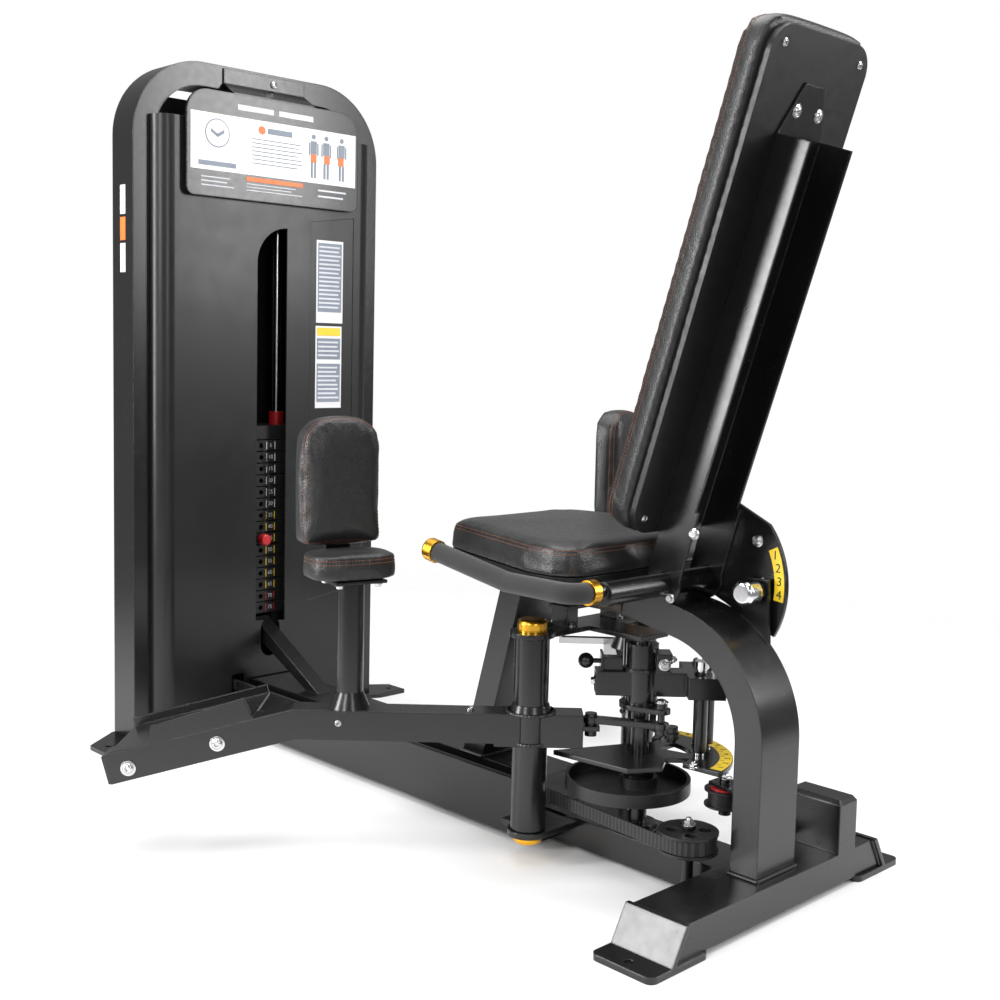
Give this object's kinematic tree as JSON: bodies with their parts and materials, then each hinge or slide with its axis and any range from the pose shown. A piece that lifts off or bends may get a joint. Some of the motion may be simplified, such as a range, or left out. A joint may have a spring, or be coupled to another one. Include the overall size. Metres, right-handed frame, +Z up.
{
  "type": "hip adductor and abductor machine",
  "caption": "Seated leg press-in, press-out gym machine: swinging leg arms with knee cushions turn a cam that lifts a pinned weight stack; reclining backrest.",
  "frame": {"origin": "on the floor, midway between the two rear floor anchor holes", "axes": "+Z up, +Y from the back post towards the weight tower, +X to the seated user's right"},
  "size_m": [1.3284, 1.5642, 1.45],
  "materials": {
    "black_paint": "satin",
    "shroud_paint": "satin",
    "vinyl": "satin",
    "chrome": "polished",
    "plate_steel": "matte",
    "gold": "satin",
    "red_rubber": "matte",
    "black_rubber": "matte",
    "foam": "matte",
    "panel_white": "matte",
    "board": "matte",
    "nylon": "satin"
  },
  "bodies": {
    "machine_frame": {"rear_crossbar": "black_paint", "rear_feet": "black_paint", "main_beam": "black_paint", "belt_guard": "black_paint", "tower_base": "black_paint", "tower_hoop": "black_paint", "tower_crossmembers": "black_paint", "front_shroud": "shroud_paint", "rear_shroud": "shroud_paint", "placard": "black_paint", "placard_panel": "panel_white", "guide_rods": "chrome", "stack_cushions": "black_rubber", "weight_plates_resting": "plate_steel", "lift_strap": "black_rubber", "strap_drop": "black_rubber", "back_post": "black_paint", "seat_frame": "black_paint", "seat_pad": "vinyl", "bearing_plates": "black_paint", "pivot_shafts": "black_paint", "pivot_caps": "gold", "pulley_stands": "black_paint", "drive_belt": "black_rubber", "handle_bars": "black_paint", "hand_grips": "foam", "grip_collars": "gold"},
    "weight_stack": {"weight_plates_lifted": "plate_steel", "stack_top_plate": "plate_steel", "selector_rod": "chrome", "stack_bumpers": "red_rubber"},
    "stack_pin": {"selector_pin": "red_rubber"},
    "left_top_wheel": {"top_pulley_left": "nylon"},
    "right_top_wheel": {"top_pulley_right": "nylon"},
    "idler_wheel": {"idler_pulley": "nylon"},
    "drum_wheel": {"drum_pulley": "nylon"},
    "backrest": {"back_pad": "vinyl", "back_board": "board", "back_channel": "black_paint", "index_sector": "black_paint"},
    "recline_pin": {"pull_pin": "chrome"},
    "crank_arm": {"crank": "black_paint"},
    "release": {"release_bar": "black_paint"},
    "pin_a": {"pop_pin_a": "chrome"},
    "pin_b": {"pop_pin_b": "chrome"},
    "range_cam": {"range_plate": "black_paint", "cam_pulley": "nylon"},
    "left_leg_arm": {"left_pivot_tube": "black_paint", "left_arm": "black_paint", "left_foot_rest": "black_paint"},
    "right_leg_arm": {"right_pivot_tube": "black_paint", "right_arm": "black_paint", "right_foot_rest": "black_paint"},
    "left_knee": {"left_knee_bracket": "black_paint", "left_knee_cushions": "vinyl"},
    "right_knee": {"right_knee_bracket": "black_paint", "right_knee_cushions": "vinyl"},
    "left_link_bar": {"left_link": "black_paint"},
    "right_link_bar": {"right_link": "black_paint"}
  },
  "joints": [
    {"name": "left_arm_swing", "type": "hinge", "parent": "machine_frame", "child": "left_leg_arm", "pos_m": [-0.14, 0.368, 0.232], "axis": [0, 0, 1], "range_deg": [-40, 0]},
    {"name": "right_arm_swing", "type": "hinge", "parent": "machine_frame", "child": "right_leg_arm", "pos_m": [0.14, 0.368, 0.232], "axis": [0, 0, 1], "range_deg": [0, 40.03]},
    {"name": "left_knee_turn", "type": "hinge", "parent": "left_leg_arm", "child": "left_knee", "pos_m": [-0.35553, 0.57811, 0.46], "axis": [0, 0, 1], "range_deg": [-8, 8]},
    {"name": "right_knee_turn", "type": "hinge", "parent": "right_leg_arm", "child": "right_knee", "pos_m": [0.35553, 0.57811, 0.46], "axis": [0, 0, 1], "range_deg": [-8, 8]},
    {"name": "left_link_turn", "type": "hinge", "parent": "left_leg_arm", "child": "left_link_bar", "pos_m": [-0.06768, 0.2975, 0.245], "axis": [0, 0, 1], "range_deg": [0, 67.82]},
    {"name": "right_link_turn", "type": "hinge", "parent": "right_leg_arm", "child": "right_link_bar", "pos_m": [0.06768, 0.2975, 0.217], "axis": [0, 0, 1], "range_deg": [-67.82, 0]},
    {"name": "crank_turn", "type": "hinge", "parent": "machine_frame", "child": "crank_arm", "pos_m": [0, 0.247, 0.3], "axis": [0, 0, 1], "range_deg": [-27.62, 0]},
    {"name": "cam_turn", "type": "hinge", "parent": "machine_frame", "child": "range_cam", "pos_m": [0, 0.247, 0.15], "axis": [0, 0, 1], "range_deg": [-27.62, 0]},
    {"name": "drum_turn", "type": "hinge", "parent": "machine_frame", "child": "drum_wheel", "pos_m": [-0.075, 0.083, 0.102], "axis": [0, 0, 1], "range_deg": [-69.02, 0]},
    {"name": "idler_turn", "type": "hinge", "parent": "machine_frame", "child": "idler_wheel", "pos_m": [0.049, 0.105, 0.137], "axis": [0, 0, 1], "range_deg": [0, 120.78]},
    {"name": "stack_lift", "type": "slide", "parent": "machine_frame", "child": "weight_stack", "axis": [0, 0, 1], "range_m": [0, 0.112], "deforming": ["strap_drop"]},
    {"name": "left_top_wheel_turn", "type": "hinge", "parent": "machine_frame", "child": "left_top_wheel", "pos_m": [-0.116, 1.417, 1.33], "axis": [0, 1, 0], "range_deg": [0, 237.07]},
    {"name": "right_top_wheel_turn", "type": "hinge", "parent": "machine_frame", "child": "right_top_wheel", "pos_m": [-0.0285, 1.417, 1.33], "axis": [0, 1, 0], "range_deg": [0, 237.07]},
    {"name": "selector_pin_pull", "type": "slide", "parent": "weight_stack", "child": "stack_pin", "axis": [0, -1, 0], "range_m": [0, 0.075]},
    {"name": "backrest_recline", "type": "hinge", "parent": "machine_frame", "child": "backrest", "pos_m": [0, 0.165, 0.49], "axis": [1, 0, 0], "range_deg": [-7.6, 15.2]},
    {"name": "recline_pin_slide", "type": "slide", "parent": "machine_frame", "child": "recline_pin", "axis": [1, 0, 0], "range_m": [-0.015, 0]},
    {"name": "release_pull", "type": "slide", "parent": "crank_arm", "child": "release", "axis": [-0.7161, 0.698, 0], "range_m": [0, 0.01]},
    {"name": "pin_a_lift", "type": "slide", "parent": "crank_arm", "child": "pin_a", "axis": [0, 0, 1], "range_m": [0, 0.018]},
    {"name": "pin_b_lift", "type": "slide", "parent": "crank_arm", "child": "pin_b", "axis": [0, 0, 1], "range_m": [0, 0.018]}
  ],
  "couplings": [
    {"joint": "right_arm_swing", "follows": "left_arm_swing", "ratio": -1},
    {"joint": "left_link_turn", "follows": "left_arm_swing", "ratio": -1.695},
    {"joint": "right_link_turn", "follows": "left_arm_swing", "ratio": 1.695},
    {"joint": "crank_turn", "follows": "left_arm_swing", "ratio": 0.69},
    {"joint": "cam_turn", "follows": "left_arm_swing", "ratio": 0.69},
    {"joint": "drum_turn", "follows": "left_arm_swing", "ratio": 1.725},
    {"joint": "idler_turn", "follows": "left_arm_swing", "ratio": -3.019},
    {"joint": "stack_lift", "follows": "left_arm_swing", "m_per_rad": -0.16},
    {"joint": "left_top_wheel_turn", "follows": "left_arm_swing", "ratio": -5.926},
    {"joint": "right_top_wheel_turn", "follows": "left_arm_swing", "ratio": -5.926}
  ]
}
